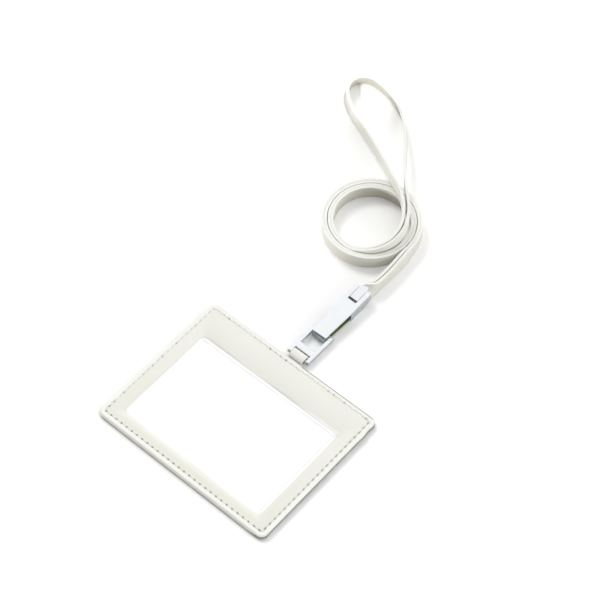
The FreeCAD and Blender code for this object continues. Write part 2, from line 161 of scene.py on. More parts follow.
def paint(piece, name, values):
    """Stores one number per point, which a material can read by its name."""
    layer = piece.data.attributes.new(name, "FLOAT", "POINT")
    layer.data.foreach_set("value", np.ascontiguousarray(values, dtype=np.float32).ravel())


# %% [markdown]
# ## The line of the strap
# The neck strap is two thin leather strips. They leave the clamp lying flat on each other, turn up on edge,
# wind twice round a coil, climb over it and run out to the loop, where they are sewn end to end. The route
# has only a few listed points, the same ones as in the CAD model, and a NURBS spline draws the smooth line
# between them. A second spline with as many points carries the lean and the thickness, so both fade in step
# with it.

# %% Reading a spline
spline_steps = 14
spline_order = 3


def spline_line(controls):
    """The points that a NURBS spline draws for these control points, evenly spaced in its own parameter."""
    curve = bpy.data.curves.new("route", "CURVE")
    curve.dimensions = "3D"
    curve.resolution_u = spline_steps
    spline = curve.splines.new("NURBS")
    spline.points.add(len(controls) - 1)
    spline.points.foreach_set("co", np.column_stack([controls, np.ones(len(controls))]).ravel())
    spline.order_u = spline_order
    spline.use_endpoint_u = True
    holder = bpy.data.objects.new("route", curve)
    mesh = bpy.data.meshes.new_from_object(holder)
    line = np.empty(len(mesh.vertices) * 3)
    mesh.vertices.foreach_get("co", line)
    bpy.data.objects.remove(holder)
    bpy.data.curves.remove(curve)
    bpy.data.meshes.remove(mesh)
    return line.reshape(-1, 3)


# %% The route, repeated from the CAD model
LEFT, RIGHT = -1, 1
strap_width, strap_thick = 0.008, 0.0015
clamped_thick, clamped_pitch, clamped_z = 0.00125, 0.00135, 0.002
lead_pitch, coil_pitch = 0.0021, 0.00153
strap_tail = 0.0105
rear_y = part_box("hook_body")[1][1]
half_strap = strap_width / 2
quarter_turn, half_turn = 90, 180

# Sideways shift, distance behind the hook, and lean from upright in degrees, below zero towards the left
lead_route = [
    (0.0, -0.004, -90), (0.0, -0.0019, -84), (0.0003, 0.0002, -62), (0.001, 0.0018, -36),
    (0.0016, 0.0034, -15), (0.0021, 0.005, -5), (0.0024, 0.0068, -1), (0.0026, 0.01, 0),
    (0.0028, 0.016, 0), (0.0026, 0.024, -3), (0.0021, 0.031, -4),
]


def lead_controls(side):
    """The pair leans by an angle, with each strand half a pitch to its side and the lowest edge down.

    A control is a place, a lean and a thickness: x, y, z, lean, thick.
    """
    shift, ahead, lean = np.array([(0, -strap_tail, -quarter_turn)] + lead_route).T
    share = 1 - np.abs(lean) / quarter_turn
    lean = np.radians(lean)
    pitch = clamped_pitch + (lead_pitch - clamped_pitch) * share
    thick = clamped_thick + (strap_thick - clamped_thick) * share
    reach = half_strap * np.cos(lean) + (pitch + thick) / 2 * np.abs(np.sin(lean))
    offset = side * pitch / 2
    x = shift + offset * np.cos(lean)
    z = np.maximum(clamped_z, reach) - offset * np.sin(lean)
    return np.column_stack([x, rear_y + ahead, z, lean, thick])


print("lead controls of the left strand in mm:", in_mm(lead_controls(LEFT)[:, :3]))

# %% The coil's turns
coil_x, coil_y, turn_y = -0.02525, 0.135, 0.1333
coil_radius = 0.02515
pair_pitch = 0.0034
coil_step, coil_sweep = 15, 630


def coil_controls(side):
    """A spiral of half circles about two centres, each half a pitch of the pair smaller than the last.

    The controls stand a little outside the circle, on a polygon round it, as the spline cuts its corners.
    """
    turn = np.arange(0, coil_sweep + 1, coil_step)
    half = (turn + quarter_turn) // half_turn
    radius = coil_radius + pair_pitch / 2 * (1 - half) + side * coil_pitch / 2
    far = radius / math.cos(math.radians(coil_step / 2))
    middle_y = np.where(half % 2 == 0, turn_y, coil_y)
    angle = np.radians(turn)
    x = coil_x + far * np.cos(angle)
    y = middle_y + far * np.sin(angle)
    flat = np.zeros(len(turn))
    return np.column_stack([x, y, flat + half_strap, flat, flat + strap_thick])


print("coil of the right strand:", len(coil_controls(RIGHT)), "controls")

# %% The third pass and the neck loop
pass_step = 30

# Corners of the third pass: radius of the pair's middle, pitch of the pair, and how far the strap has climbed
pass_corners = [
    (0.02005, 0.0016, 0.0006), (0.0198, 0.0017, 0.0024), (0.0193, 0.002, 0.0046),
    (0.0189, 0.0023, 0.0069), (0.0188, 0.0025, 0.0085),
]

# Place from the coil's middle, height of the strap's lower edge, and lean to the loop's inside in degrees
left_leg_route = [
    (0.0044, 0.0192, 0.009, 0), (-0.0096, 0.0262, 0.009, 0), (-0.0296, 0.038, 0.005, 0),
    (-0.0502, 0.0478, 0.0012, 4), (-0.0638, 0.0551, 0.0, 8), (-0.0698, 0.0627, 0.0, 12),
    (-0.0698, 0.07035, 0.0, 14),
]
right_leg_route = [
    (0.0079, 0.0196, 0.009, 0), (-0.0037, 0.0314, 0.009, 4), (-0.0194, 0.0528, 0.0046, 9),
    (-0.0334, 0.067, 0.0009, 10), (-0.0446, 0.0732, 0.0, 11), (-0.055, 0.0757, 0.0, 12),
    (-0.0642, 0.0758, 0.0, 14),
]
seam_place = (np.array(left_leg_route[-1]) + np.array(right_leg_route[-1])) / 2


def pass_controls(side):
    """The pass on the coil's right: corners of a polygon round a circle, each one higher than the last."""
    radius, pitch, climb = np.array(pass_corners).T
    angle = np.radians(-quarter_turn + pass_step * (np.arange(len(climb)) + 0.5))
    far = (radius + side * pitch / 2) / math.cos(math.radians(pass_step / 2))
    x = coil_x + far * np.cos(angle)
    y = turn_y + far * np.sin(angle)
    flat = np.zeros(len(climb))
    return np.column_stack([x, y, half_strap + climb, flat, flat + strap_thick])


def leg_controls(side):
    """One leg of the loop up to the seam, which is midway between the last points of the two legs."""
    route = left_leg_route if side == LEFT else right_leg_route
    x, y, low, lean = np.vstack([route, seam_place]).T
    lean = -side * np.radians(lean)
    z = half_strap * np.cos(lean) + low
    return np.column_stack([coil_x + x, coil_y + y, z, lean, np.full(len(x), strap_thick)])


def strand_controls(side):
    """All controls of one strand, from its end in the clamp to the seam."""
    return np.vstack([lead_controls(side), coil_controls(side), pass_controls(side), leg_controls(side)])


print("strand controls:", len(strand_controls(LEFT)), "left,", len(strand_controls(RIGHT)), "right")

# %% [markdown]
# ## The strap's strips
# A strip of leather has a flat cross-section with slightly rounded corners. It could be an extruded curve,
# but a curve's bevel can't change its thickness or keep a chosen lean. So the profile is carried along the
# line as an array: each row of the grid is one cross-section, turned to the line's heading and to its lean
# there.

# %% A profile carried along a line
corner_steps = 5
strip_corner = 0.00018


def unit(vectors):
    """Each row divided by its own length."""
    return vectors / np.linalg.norm(vectors, axis=-1, keepdims=True)


def metres_along(line):
    """The length of the line from its start to each of its points."""
    return np.concatenate([[0], np.cumsum(np.linalg.norm(np.diff(line, axis=0), axis=1))])


def flat_profile(half_wide, half_thick, corner):
    """A rounded rectangle: a quarter circle at each corner and a point midway on each side.

    half_wide and half_thick hold one number per cross-section, and each gives one row.
    """
    quarter = np.linspace(0, math.pi / 2, corner_steps)
    wide, thick = [], []
    for index, (sign_wide, sign_thick) in enumerate([(1, 1), (-1, 1), (-1, -1), (1, -1)]):
        angle = quarter + index * math.pi / 2
        wide.append(sign_wide * (half_wide - corner)[:, None] + corner * np.cos(angle))
        thick.append(sign_thick * (half_thick - corner)[:, None] + corner * np.sin(angle))
        on_face = index % 2 == 0
        wide.append((half_wide * (0 if on_face else sign_wide))[:, None])
        thick.append((half_thick * (sign_thick if on_face else 0))[:, None])
    return np.hstack(wide), np.hstack(thick)


def strip_grid(line, wide_way, half_wide, half_thick, corner):
    """Each point is the line's, plus the profile's width along wide_way, plus its thickness across that."""
    heading = unit(np.gradient(line, axis=0))
    wide_way = unit(wide_way - heading * (wide_way * heading).sum(axis=1, keepdims=True))
    thick_way = np.cross(wide_way, heading)
    wide, thick = flat_profile(half_wide, half_thick, corner)
    return line[:, None] + wide_way[:, None] * wide[..., None] + thick_way[:, None] * thick[..., None], wide


def leaning(line, lean):
    """The way a strip's width points: straight up, tipped to the right of its heading by the lean."""
    heading = unit(np.gradient(line, axis=0))
    right = unit(np.cross(heading, (0, 0, 1)))
    up = np.cross(right, heading)
    return up * np.cos(lean)[:, None] + right * np.sin(lean)[:, None]


# %% Two strands
seam_gap = 0.00025
edge_band = 0.00045


def strap_strand(name, side):
    """One strand as a piece with its painted edges and its metres along, and the line that it follows.

    The line is raised where the strip's lower edge, at that lean, would be under the floor.
    """
    controls = strand_controls(side)
    line = spline_line(controls[:, :3])
    lean, thick, _ = spline_line(np.column_stack([controls[:, 3:], np.zeros(len(controls))])).T
    line[-1] += unit(line[-2] - line[-1]) * seam_gap / 2
    reach_down = half_strap * np.abs(np.cos(lean)) + thick / 2 * np.abs(np.sin(lean))
    line[:, 2] = np.maximum(line[:, 2], reach_down)
    half_wide = np.full(len(line), half_strap)
    grid, wide = strip_grid(line, leaning(line, lean), half_wide, thick / 2, strip_corner)
    piece = tubes_piece(name, grid[None])
    along = metres_along(line)
    paint(piece, "along", np.broadcast_to(along[:, None], wide.shape))
    paint(piece, "across", wide)
    paint(piece, "cut_edge", np.clip((np.abs(wide) - half_strap + edge_band) / edge_band, 0, 1))
    print(name, "is", in_mm(along[-1]), "mm long")
    return piece, line, lean


left_strap, left_line, left_lean = strap_strand("left_strap", LEFT)
right_strap, right_line, _ = strap_strand("right_strap", RIGHT)

# %% The straps ride with the hook, in place of the CAD strands
left_length, right_length = 0.457, 0.478
for piece, line, side, length in (
    (left_strap, left_line, "left", left_length),
    (right_strap, right_line, "right", right_length),
):
    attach(piece, "hook")
    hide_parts(*[f"{side}_strap_{stretch}" for stretch in ("lead", "coil", "loop")])

# %% [markdown]
# ## The front leather
# The front panel is a frame of ivory leather round the window, sewn along its outer edge. Its edges are
# rounded by hand tools, the thread pulls a groove into it, and the border outside the thread stands a
# little proud. A plain plate with a hole has none of this. Here one cross-section of the frame, from the
# outer edge over the stitch line to the window, is carried round the wallet on rounded rectangles.

# %% A ring of rounded rectangles
ring_corner_steps = 14
ring_spacing = 0.00034
panel_low, panel_high = (np.array(corner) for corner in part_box("front_panel"))
panel_half = (panel_high - panel_low)[:2] / 2


def ring_rows():
    """For each row round the frame: the two corners it is between, the angle, and its share of the way."""
    rows = []
    corners = [(1, 1), (-1, 1), (-1, -1), (1, -1)]
    for index, here in enumerate(corners):
        there = corners[(index + 1) % len(corners)]
        angle = index * math.pi / 2 + np.linspace(0, math.pi / 2, ring_corner_steps)
        rows.append(np.column_stack([np.tile(here + here, (ring_corner_steps, 1)), angle, angle * 0]))
        side_length = 2 * panel_half[index % 2]
        share = np.linspace(0, 1, int(side_length / ring_spacing))[1:-1]
        end = np.full(len(share), (index + 1) * math.pi / 2)
        rows.append(np.column_stack([np.tile(here + there, (len(share), 1)), end, share]))
    return np.vstack(rows)


def rounded_rectangles(half_x, half_y, corner, middle_y):
    """Rounded rectangles, one per column: quarter circles at the corners, even shares between their ends."""
    here_x, here_y, there_x, there_y, angle, share = (column[:, None] for column in ring_rows().T)
    sign_x = here_x * (1 - share) + there_x * share
    sign_y = here_y * (1 - share) + there_y * share
    x = sign_x * (half_x - corner) + corner * np.cos(angle)
    y = middle_y + sign_y * (half_y - corner) + corner * np.sin(angle)
    return x, y


print(len(ring_rows()), "rows round the frame")

# %% The frame's cross-section
panel_corner, panel_round = 0.004, 0.0009
stitch_inset, stitch_corner = 0.003, 0.0015
window_half = np.array([0.045, 0.0295])
window_y = -0.0048
window_corner, window_round = 0.003, 0.0001
wall_thick, lining_inset = 0.0006, 0.0035
field_start = 0.0046
round_steps, field_steps = 9, 9

# Points lie close together within reach of the stitch line, and further apart once clear of it
groove_reach, groove_clear = 0.0005, 0.0006
outer_steps, groove_steps, inner_steps = 5, 11, 4

quarter = np.linspace(0, math.pi / 2, round_steps)
edge_inset = panel_round * (1 - np.cos(quarter))
edge_share = 1 - np.sin(quarter)
border_inset = np.concatenate([
    np.linspace(panel_round, stitch_inset - groove_clear, outer_steps)[1:],
    np.linspace(stitch_inset - groove_reach, stitch_inset + groove_reach, groove_steps),
    np.linspace(stitch_inset + groove_clear, field_start, inner_steps),
])
wall_inset = np.array([lining_inset, wall_thick])
inset = np.concatenate([wall_inset, edge_inset, border_inset])
field = np.linspace(0, 1, field_steps + 1)[1:]
rim_out = window_round * (1 - np.sin(quarter))[1:]
rim_drop = window_round * (1 - np.cos(quarter))[1:]
print("the cross-section has", len(inset), "points on the border and", len(field), "on the field")

# %% One rectangle for each point of the cross-section
least_corner = 0.001
rim_thick = 0.00013
press_power = 2.5
panel_thick = panel_high[2] - panel_low[2]
pressed = panel_thick - rim_thick


def across_field(start, end):
    """Values across the field of the frame, from the sewn border to the window's rim."""
    return start + (end - start) * field


def column_half(panel, window):
    """Half the frame's length or width at each point, from half the panel's to half the window's."""
    to_rim = across_field(panel - field_start, window + window_round)
    return np.concatenate([panel - inset, to_rim, window + rim_out, [window]])


column_corner = np.concatenate([
    np.maximum(panel_corner - inset, stitch_corner - (inset - stitch_inset).clip(0)).clip(least_corner),
    across_field(least_corner, window_corner + window_round), window_corner + rim_out, [window_corner],
])
column_y = np.concatenate([inset * 0, across_field(0, window_y), rim_out * 0 + window_y, [window_y]])
column_drop = np.concatenate([
    wall_inset * 0 + panel_thick, edge_share * panel_thick, border_inset * 0,
    pressed * field ** press_power, pressed + rim_drop, [panel_thick],
])
column_inset = np.concatenate([inset, np.full(len(column_drop) - len(inset), panel_half[1])])

# How much of the turned-down edge's depth each point hangs by: all of it at the wall's foot
hang_share = np.concatenate([[0, 1], edge_share, np.zeros(len(column_drop) - len(wall_inset) - round_steps)])
print("each rectangle is lower than the top by", in_mm(column_drop), "mm")

# %% How far the edge is turned down
wall_deep, wall_at_mouth = 0.0011, 0.0002
mouth_low, mouth_high, mouth_fade = -0.0377, 0.0317, 0.003
tab_room, tab_fade = 0.0047, 0.0015
outline_play = 0.0002


def ramp(value, start, length):
    """Rises smoothly from 0 at the start to 1 a length further on."""
    share = ((value - start) / length).clip(0, 1)
    return share * share * (3 - 2 * share)


def wall_extra(x, y):
    """How far the wall hangs below the panel: short at the pocket's mouth on the right, none at the tab."""
    on_right = ramp(x, panel_half[0] - 2 * outline_play, outline_play)
    beyond = ramp(y, mouth_high, mouth_fade) + ramp(-y, -mouth_low, mouth_fade)
    mouth = on_right * (1 - beyond)
    on_top = ramp(y, panel_half[1] - 2 * outline_play, outline_play)
    tab = on_top * (1 - ramp(np.abs(x), tab_room, tab_fade))
    return (wall_deep * (1 - mouth) + wall_at_mouth * mouth) * (1 - tab)


print("the edge is turned down by", in_mm(wall_deep), "mm, and at the mouth by", in_mm(wall_at_mouth), "mm")

# %% The stitch line
stitch_pitch = 0.0035


def stitch_ring(inset_from_edge):
    """The line of the needle holes as x and y, with the metres along it, closed on its start."""
    half_x, half_y = panel_half[:, None] - inset_from_edge
    x, y = rounded_rectangles(half_x, half_y, np.array([stitch_corner]), 0.0)
    ring = np.vstack([np.hstack([x, y]), [[x[0, 0], y[0, 0]]]])
    return ring, metres_along(ring)


ring, ring_along = stitch_ring(stitch_inset)
stitch_count = round(ring_along[-1] / stitch_pitch)
hole_phase = ring_along[:-1] / ring_along[-1] * stitch_count
from_hole = np.abs(hole_phase - np.round(hole_phase)) * stitch_pitch
print(stitch_count, "stitches round", in_mm(ring_along[-1]), "mm")

# %% Where the top and the needle holes are
hole_wide, hole_long, right_long = 0.00042, 0.00062, 0.0009
clear_right, clear_fade = 0.045, 0.006
flat_share = 0.9
outline = len(wall_inset)


def hump(value, width):
    """A smooth bump: one at zero, fading out over the width."""
    return np.exp(-(value / width) ** 2)


column_half_x, column_half_y = (column_half(*halves) for halves in zip(panel_half, window_half))
ring_x, ring_y = rounded_rectangles(column_half_x, column_half_y, column_corner, column_y)

# 1 on the upper side, 0 on the wall, its rounding and the window's rim
on_top = np.concatenate([inset > panel_round * flat_share, np.ones(len(field)), np.zeros(len(rim_out) + 1)])
on_top[:outline] = 0

# The holes are longer along the right edge
on_right = ramp(ring_x[:, outline], clear_right, clear_fade)
hole_length = hole_long + (right_long - hole_long) * on_right
front_hole = hump(from_hole, hole_length)[:, None] * hump(column_inset - stitch_inset, hole_wide)
print("the surface has", front_hole.shape, "rows and columns")

# %% The front leather's surface
groove_wide, groove_deep, hole_deep = 0.00032, 0.00007, 0.0003
border_puff, field_puff = 0.00005, 0.0001
wave_height = 0.00004
wave_x, wave_y = (0.011, 0.031), (0.023, 0.009)
ear_x, ear_y, dent_y = 0.055, 0.0312, 0.0362
ear_size, ear_push, ear_lift = 0.0028, 0.0003, 0.0002


def front_surface(x, y, hole):
    """The rings at their heights, less the groove and needle holes, plus soft swellings and one lifted place.

    The groove is a hump across the stitch line, deeper at each needle hole. The border and the field swell as
    half sine waves. Near its upper right corner the edge is pushed out and up, as the real one is.
    """
    groove = hump(column_inset - stitch_inset, groove_wide)
    border_share = np.clip(column_inset / stitch_inset, 0, 1)
    field_share = np.concatenate([inset * 0, field, rim_out * 0 + 1, [1.0]])
    swell = border_puff * np.sin(math.pi * border_share) + field_puff * np.sin(math.pi * field_share)
    wave = wave_height * np.sin(x / wave_x[0] + y / wave_y[0]) * np.sin(y / wave_y[1] - x / wave_x[1])
    z = panel_high[2] - column_drop + on_top * (swell + wave - groove * groove_deep - hole * hole_deep)
    z = z - hang_share * wall_extra(x[:, outline], y[:, outline])[:, None]
    ear = hump(np.hypot(x - ear_x, y - ear_y), ear_size)
    dent = hump(np.hypot(x - ear_x, y - dent_y), ear_size)
    return np.stack([x + (ear - dent) * ear_push, y, z + ear * ear_lift], axis=-1)


front_grid = front_surface(ring_x, ring_y, front_hole)
front_leather = ring_piece("front_leather", front_grid)

# %% What is painted on the front
hole_least, hole_power, right_strong = 0.2, 3, 0.75
clear_low = -0.03
border_fade = 0.0004
rim_start, rim_length, rim_left_share = 0.0013, 0.0004, 0.3
foot_start, mouth_start, foot_fade = 0.8, 0.35, 0.1
chance_seed = 7
draw = np.random.default_rng(chance_seed)


def hole_shade_strength():
    """How dark the painted shade in each row's needle hole is: drawn by chance, but even along the lower and
    the right edge.
    """
    strength = hole_least + (1 - hole_least) * draw.random(stitch_count) ** hole_power
    strength = strength[np.round(hole_phase).astype(int) % stitch_count]
    even = np.maximum(ramp(-ring_y[:, outline], -clear_low, clear_fade), on_right * right_strong)
    return np.where(even > 0, even, strength)[:, None]


def dyed_and_shaded_edge():
    """Edge dye and painted shade: a band along the far side, fainter left of the tab, and the foot of the
    turned-down wall.
    """
    far_edge = ramp(front_grid[..., 1], panel_half[1] - rim_start, rim_length)
    right_of_tab = ramp(front_grid[..., 0], tab_room, tab_fade)
    far_edge = far_edge * (rim_left_share + (1 - rim_left_share) * right_of_tab)
    at_mouth = ramp(front_grid[:, outline, :1], clear_right, clear_fade)
    foot = ramp(hang_share, foot_start + (mouth_start - foot_start) * at_mouth, foot_fade)
    return np.maximum(far_edge, foot)


border = 1 / (1 + np.exp((column_inset - stitch_inset) / border_fade))
# The needle holes are darkened with painted shade, on top of their dimples
paint(front_leather, "hole", front_hole * on_top * hole_shade_strength())
paint(front_leather, "border", np.broadcast_to(border, front_hole.shape))
# The rim is edge dye and painted shade along the far edge and the foot of the wall
paint(front_leather, "rim", dyed_and_shaded_edge())
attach(front_leather, "wallet")
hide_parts("front_panel")

# %% [markdown]
# ## The thread
# A machine sews the wallet with one thread above and one below. Each stitch is a short bow of thread that
# comes up out of one needle hole and goes down into the next. Modelled as one long rope it would hide the
# holes, so each stitch is a small tube of its own with a round back, all of them worked out together as one
# array.

# %% Stitches on a ring
thread_radius = 0.00024
stitch_reach = 0.00105
stitch_sink = 0.0004
stitch_rows, stitch_sides = 8, 6
end_taper, dip_power = 0.6, 4


def stitch_tube():
    """One bowed stitch: the shares along it, and how far each point of its rounds is to the side and up.

    The radius is full in the middle and fades to the ends, which dip, both by the fourth power of the share.
    """
    share = np.linspace(-1, 1, stitch_rows)
    dip = (share ** dip_power)[:, None]
    radius = thread_radius * (1 - end_taper * dip)
    angle = np.linspace(0, 2 * math.pi, stitch_sides, endpoint=False)
    return share, radius * np.cos(angle), radius * np.sin(angle) - stitch_sink * dip


def ring_stitches(along_places, line, along, height):
    """Stitches along a closed line at one height; along_places are their middles in metres along it."""
    share, aside, rise = stitch_tube()
    place = along_places[:, None] + share * stitch_reach
    middle = np.stack([np.interp(place, along, line[:, axis], period=along[-1]) for axis in (0, 1)], axis=-1)
    heading = unit(np.gradient(middle, axis=1))
    side = np.stack([-heading[..., 1], heading[..., 0]], axis=-1)
    flat = middle[:, :, None] + side[:, :, None] * aside[..., None]
    z = np.broadcast_to(height + rise, flat.shape[:3])
    return np.concatenate([flat, z[..., None]], axis=-1)


stitch_middles = (np.arange(stitch_count) + 0.5) / stitch_count * ring_along[-1]
thread_seat = panel_high[2] - groove_deep + thread_radius / 2
front_thread = tubes_piece("front_thread", ring_stitches(stitch_middles, ring, ring_along, thread_seat))
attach(front_thread, "wallet")

# %% [markdown]
# ## The back leather
# The back panel is a plain sheet with a round notch at the pocket's mouth, where a thumb pushes the card
# out. It could be cut from a plate with a boolean, which leaves sharp, uneven edges. Seen as a very wide
# strip that runs up the wallet, its left and right edges are simple functions of the height, and its rim
# can be rounded. Its faces are long and thin, so normals weighted by their size keep the sheet's shading
# flat.

# %% The back leather's surface
back_low, back_high = (np.array(corner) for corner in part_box("back_panel"))
back_inset, back_round = 0.0006, 0.0003
thumb_radius = 0.009
notch_radius = thumb_radius + back_inset
sheet_steps, end_steps = 60, 12
row_digits = 7


def back_rows():
    """Heights of the cross-sections: close together at the corners, both ends and round the thumb notch."""
    half = panel_half[1] - back_inset
    bow = np.linspace(-math.pi / 2, math.pi / 2, sheet_steps)
    corner = panel_corner * (1 - np.cos(np.linspace(0, math.pi / 2, end_steps)))
    ends = np.concatenate([-half + corner, half - corner])
    notch = window_y + notch_radius * np.sin(bow)
    return np.unique(np.concatenate([ends, notch, np.linspace(-half, half, sheet_steps)]).round(row_digits))


def back_surface():
    """The right edge is a straight side less a half circle for the thumb; the corners are quarter circles."""
    y = back_rows()
    half_x, half_y = panel_half - back_inset
    into_corner = (np.abs(y) - (half_y - panel_corner)).clip(0, panel_corner)
    side = half_x - panel_corner + np.sqrt(panel_corner ** 2 - into_corner ** 2)
    notch = np.sqrt((notch_radius ** 2 - (y - window_y) ** 2).clip(0))
    right = np.minimum(side, panel_half[0] - notch)
    thick = (back_high - back_low)[2]
    thinner = (half_y - np.abs(y)).clip(0, back_round) / back_round
    half_thick = thick / 2 - back_round * (1 - np.sqrt(1 - (1 - thinner) ** 2))
    wide, tall = flat_profile((right + side) / 2, half_thick, back_round / 2)
    x = ((right - side) / 2)[:, None] + wide
    return np.stack([x, np.broadcast_to(y[:, None], x.shape), thick / 2 + tall], axis=-1)


back_grid = back_surface()
back_leather = tubes_piece("back_leather", back_grid[None])
back_leather.modifiers.new("flat_normals", "WEIGHTED_NORMAL")
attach(back_leather, "wallet")
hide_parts("back_panel")

# %% Its dyed edge, with painted shade
dye_and_shade_start, dye_and_shade_length = back_round / 8, back_round / 4
across_back = np.abs(back_grid[..., 0] - back_grid[..., 0].mean(axis=1, keepdims=True))
from_sides = across_back.max(axis=1, keepdims=True) - across_back
from_ends = panel_half[1] - back_inset - np.abs(back_grid[..., 1])
# The back's rim is edge dye and painted shade under the front's overhang
paint(back_leather, "rim", 1 - ramp(np.minimum(from_sides, from_ends), dye_and_shade_start, dye_and_shade_length))
print("the back's dye fades out", in_mm(dye_and_shade_start + dye_and_shade_length), "mm from its edge")

# %% [markdown]
# ## The folded tab
# A narrow tab of the same leather is folded round the link's lower bar, and both its ends are sewn in
# between the panels. It is one strip, so it is made as the straps are: a flat profile carried along a line
# that goes out over the bar and back under it, thinned at the ends, where a leather worker would pare it
# down.

# %% The tab's line
tab_low, tab_high = (np.array(corner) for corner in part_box("hanging_tab"))
bar_y, bar_z = 0.0468, 0.0024
tab_thick, pared_thick = 0.0011, 0.00043
tab_corner = 0.0002
tab_bend = 0.00175
fold_shares = (0.2, 0.8, 0.9, 1.12)
near_bar, over_lip, beside_bar, past_bar = (tab_bend * share for share in fold_shares)
wallet_top = panel_high[1]
sewn_in, lower_lip, upper_lip, pared_lip = 0.001, 0.0008, 0.0007, 0.0004
pocket_low, pocket_high = (corner[2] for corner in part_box("edge_filler"))
lower_layer = pocket_low + pared_thick / 2
upper_layer = pocket_high - pared_thick / 2

# Controls up the lower layer, round the bar and back: y, z, thickness
tab_route = np.array([
    (tab_low[1], lower_layer, pared_thick),
    (wallet_top - sewn_in, lower_layer, pared_thick),
    (wallet_top + lower_lip, bar_z - tab_bend, tab_thick),
    (bar_y + near_bar, bar_z - past_bar, tab_thick),
    (bar_y + past_bar, bar_z - beside_bar, tab_thick),
    (bar_y + past_bar, bar_z + beside_bar, tab_thick),
    (bar_y + near_bar, bar_z + past_bar, tab_thick),
    (wallet_top + upper_lip, bar_z + over_lip, tab_thick),
    (wallet_top + pared_lip, upper_layer, pared_thick),
    (wallet_top - sewn_in, upper_layer, pared_thick),
    (tab_low[1], upper_layer, pared_thick),
])


def tab_surface():
    """The strip's width points along the wallet's edge; line and thickness are read from one spline each.

    The line is raised where half the thickness would reach under the floor.
    """
    count = len(tab_route)
    line = spline_line(np.column_stack([np.zeros(count), tab_route[:, :2]]))
    thick = spline_line(np.column_stack([tab_route[:, 2], np.zeros((count, 2))]))[:, 0]
    line[:, 2] = np.maximum(line[:, 2], thick / 2)
    half_wide = np.full(len(line), (tab_high - tab_low)[0] / 2)
    wide_way = np.tile([1.0, 0.0, 0.0], (len(line), 1))
    return strip_grid(line, wide_way, half_wide, thick / 2, tab_corner)[0]


folded_tab = tubes_piece("folded_tab", tab_surface()[None])
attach(folded_tab, "wallet")
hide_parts("hanging_tab")

# %% [markdown]
# ## The seam of the neck loop
# At the loop's far end the two strands meet end to end and a few stitches hold them. A single bar of thread
# would read as a staple, so there is a row of short stitches on each face, each one crossing the joint.

# %% Stitches across the joint
seam_rows = 5
seam_share = 0.72
seam_reach = 0.0013
end_points = 4


def seam_stitches():
    """Short tubes along the strap's heading, in a row up its width, on both faces of the strap."""
    middle = (left_line[-1] + right_line[-1]) / 2
    heading = unit(left_line[-1] - left_line[-end_points])
    wide_way = leaning(left_line[-end_points:], left_lean[-end_points:])[-1]
    out = np.cross(wide_way, heading)
    share, aside, rise = stitch_tube()
    height = np.linspace(-seam_share, seam_share, seam_rows) * half_strap
    face = np.array([-1, 1])[:, None, None, None]
    shape = (len(face), seam_rows, stitch_rows, stitch_sides)
    up = np.broadcast_to(height[:, None, None] + aside, shape)[..., None]
    off = np.broadcast_to(face * (strap_thick / 2 + rise), shape)[..., None]
    run = np.broadcast_to((share * seam_reach)[:, None], shape)[..., None]
    tubes = middle + heading * run + wide_way * up + out * off
    return tubes.reshape(-1, stitch_rows, stitch_sides, 3)


seam_thread = tubes_piece("seam_thread", seam_stitches())
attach(seam_thread, "hook")

# %% [markdown]
# ## Writing shader sums as Python
# A finish is a graph of nodes, and wiring each sum by hand soon hides what it means. One small class wraps
# a socket: plus, minus and times on it add Math nodes, and one method adds any other node with its
# settings.

# %% A socket that can be added and multiplied


class Socket:
    """A socket of a node tree. Operators on it add Math nodes, and node() adds any other node."""

    def __init__(self, tree, socket=None):
        self.tree = tree
        self.socket = socket

    def node(self, kind, settings=None, inputs=None, output=0):
        """Adds a node: its settings first, then a value or a link for each input named."""
        made = self.tree.nodes.new(kind)
        for name, value in (settings or {}).items():
            setattr(made, name, value)
        for name, value in (inputs or {}).items():
            if isinstance(value, Socket):
                self.tree.links.new(value.socket, made.inputs[name])
            else:
                made.inputs[name].default_value = value
        return Socket(self.tree, made.outputs[output] if made.outputs else None)

    def math(self, operation, first, second=0.0):
        """Adds a Math node; an operation on one value leaves the second alone."""
        return self.node("ShaderNodeMath", {"operation": operation}, {0: first, 1: second})

    def __add__(self, other):
        return self.math("ADD", self, other)

    def __sub__(self, other):
        return self.math("SUBTRACT", self, other)

    def __rsub__(self, other):
        return self.math("SUBTRACT", other, self)

    def __mul__(self, other):
        return self.math("MULTIPLY", self, other)

    def __pow__(self, other):
        return self.math("POWER", self, other)

    __radd__ = __add__
    __rmul__ = __mul__


# %% Starting and closing a finish


def new_finish(name):
    """An empty material and a Socket that adds nodes to it."""
    material = bpy.data.materials.new(name)
    material.use_nodes = True
    material.node_tree.nodes.clear()
    return material, Socket(material.node_tree)


def close_finish(tree, inputs):
    """Ends a finish in one Principled shader with these inputs."""
    shader = tree.node("ShaderNodeBsdfPrincipled", None, inputs, "BSDF")
    tree.node("ShaderNodeOutputMaterial", None, {"Surface": shader})


# %% What finishes read


def object_place(tree):
    """The place of a point in the object's own coordinates, in metres."""
    return tree.node("ShaderNodeTexCoord", None, None, "Object")


def part_of(tree, place, axis):
    """One of a place's three numbers: X, Y or Z."""
    return tree.node("ShaderNodeSeparateXYZ", None, {"Vector": place}, axis)


def painted(tree, name):
    """The numbers that paint() stored under this name."""
    return tree.node("ShaderNodeAttribute", {"attribute_name": name}, None, "Fac")


def noise(tree, place, scale, detail=3.0):
    """Soft noise between 0 and 1 with about so many lumps in a metre."""
    return tree.node("ShaderNodeTexNoise", None, {"Vector": place, "Scale": scale, "Detail": detail})


# %% What finishes mix


def colour_mix(tree, share, first, second):
    """The first colour where the share is 0, the second where it is 1."""
    return tree.node("ShaderNodeMix", {"data_type": "RGBA"}, {0: share, 6: first, 7: second}, 2)


